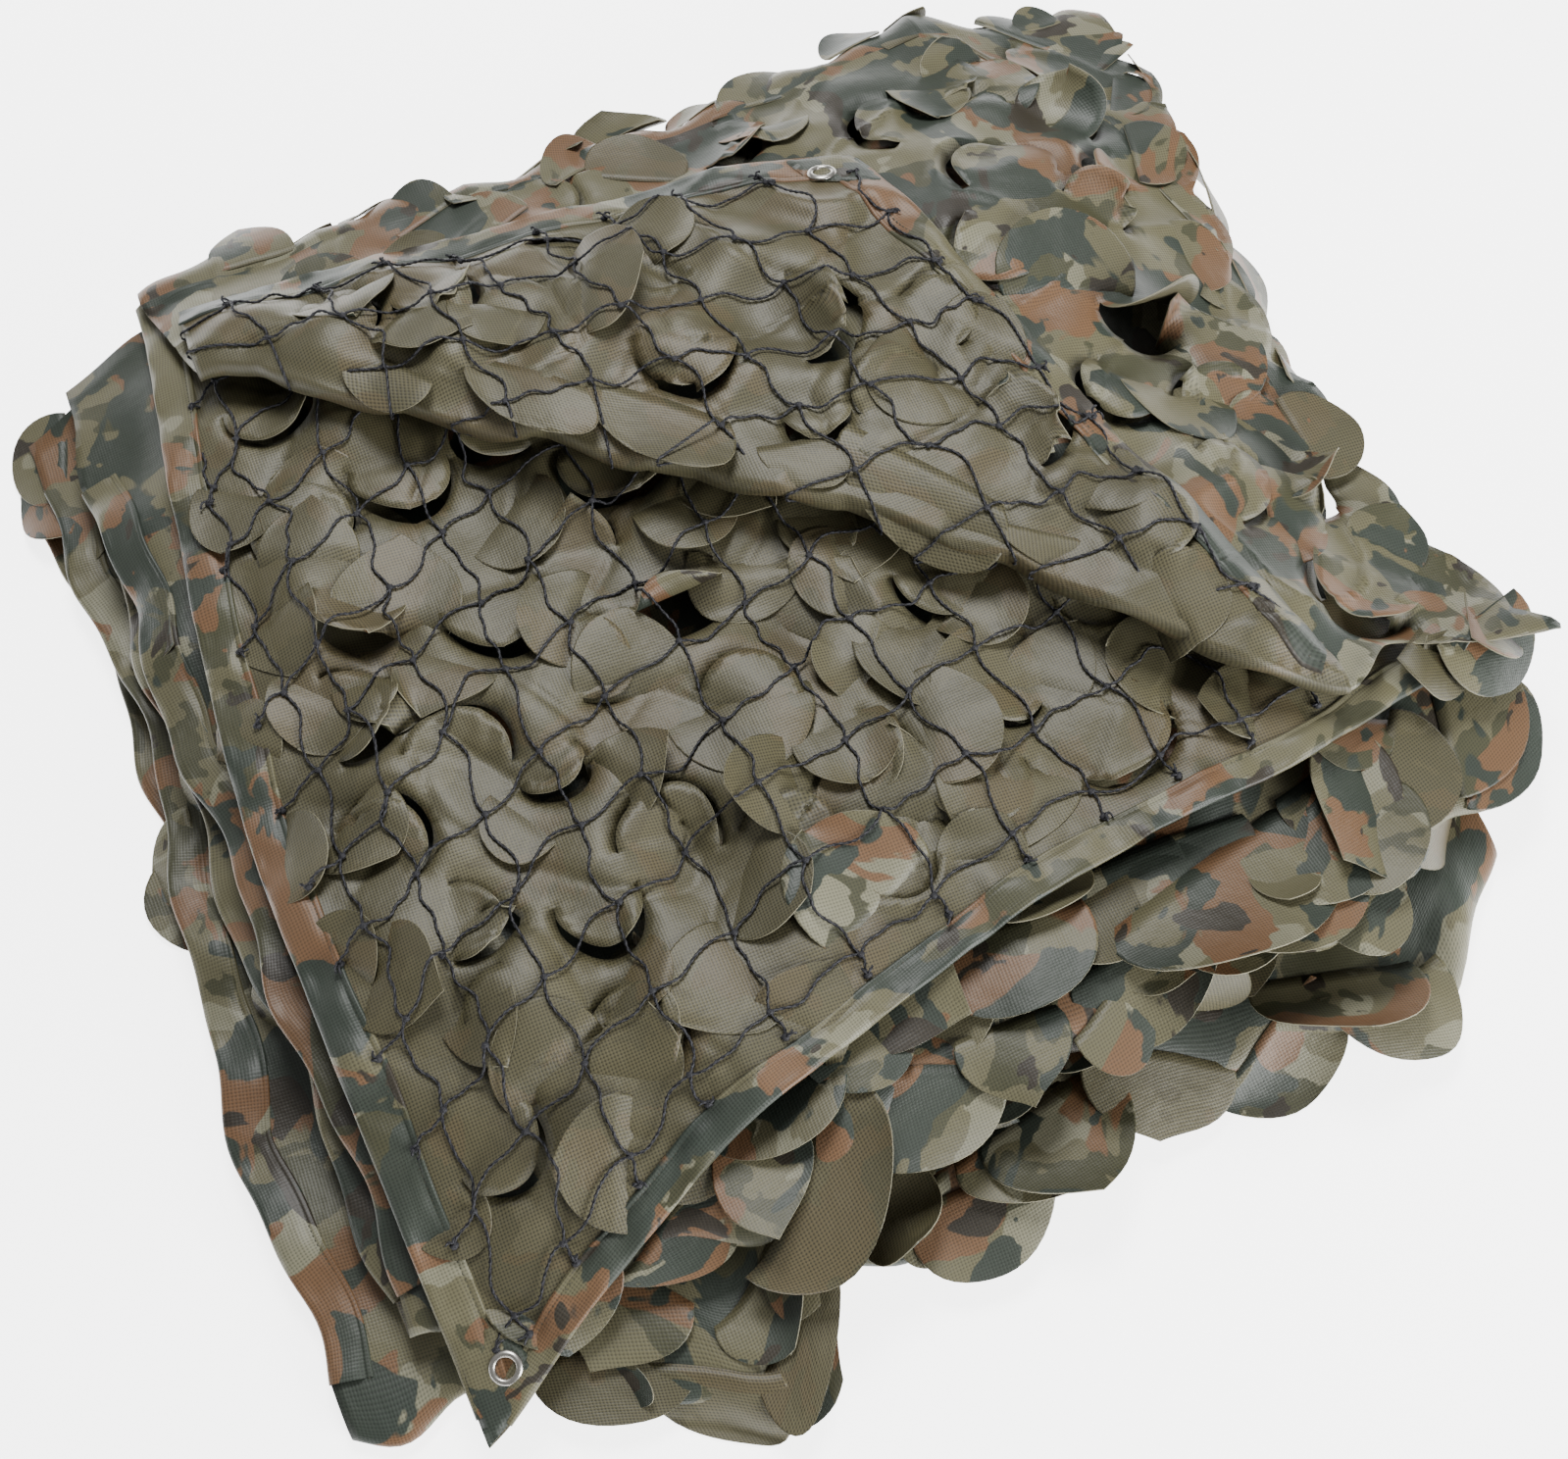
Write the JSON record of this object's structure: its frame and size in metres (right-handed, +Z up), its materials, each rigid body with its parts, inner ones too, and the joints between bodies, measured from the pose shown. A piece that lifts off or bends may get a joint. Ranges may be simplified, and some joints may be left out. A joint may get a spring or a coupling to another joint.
{
  "type": "folded camouflage net",
  "caption": "Square-meshed twine net with leaf-cut camouflage cloth and eyelets, folded into a low square pile with one corner turned back.",
  "frame": {"origin": "on the ground, under the middle of the pile's box", "axes": "+Z up from the ground; the cloth's front hem with its eyelet is towards -Y, and the turned back flap runs from the back left down to the right"},
  "size_m": [0.8658, 0.8638, 0.1695],
  "materials": {
    "camouflage_cloth": "coated woven cloth, printed in camouflage blotches on one side and plain olive on the other",
    "black_twine": "twisted twine with a low sheen",
    "nickel": "satin nickel"
  },
  "bodies": {
    "root": {"net_cloth": "camouflage_cloth", "hem_corner_front": "camouflage_cloth", "hem_corner_back": "camouflage_cloth", "eyelet_front": "nickel", "eyelet_back": "nickel", "netting_face": "black_twine", "netting_flap": "black_twine"}
  },
  "joints": []
}
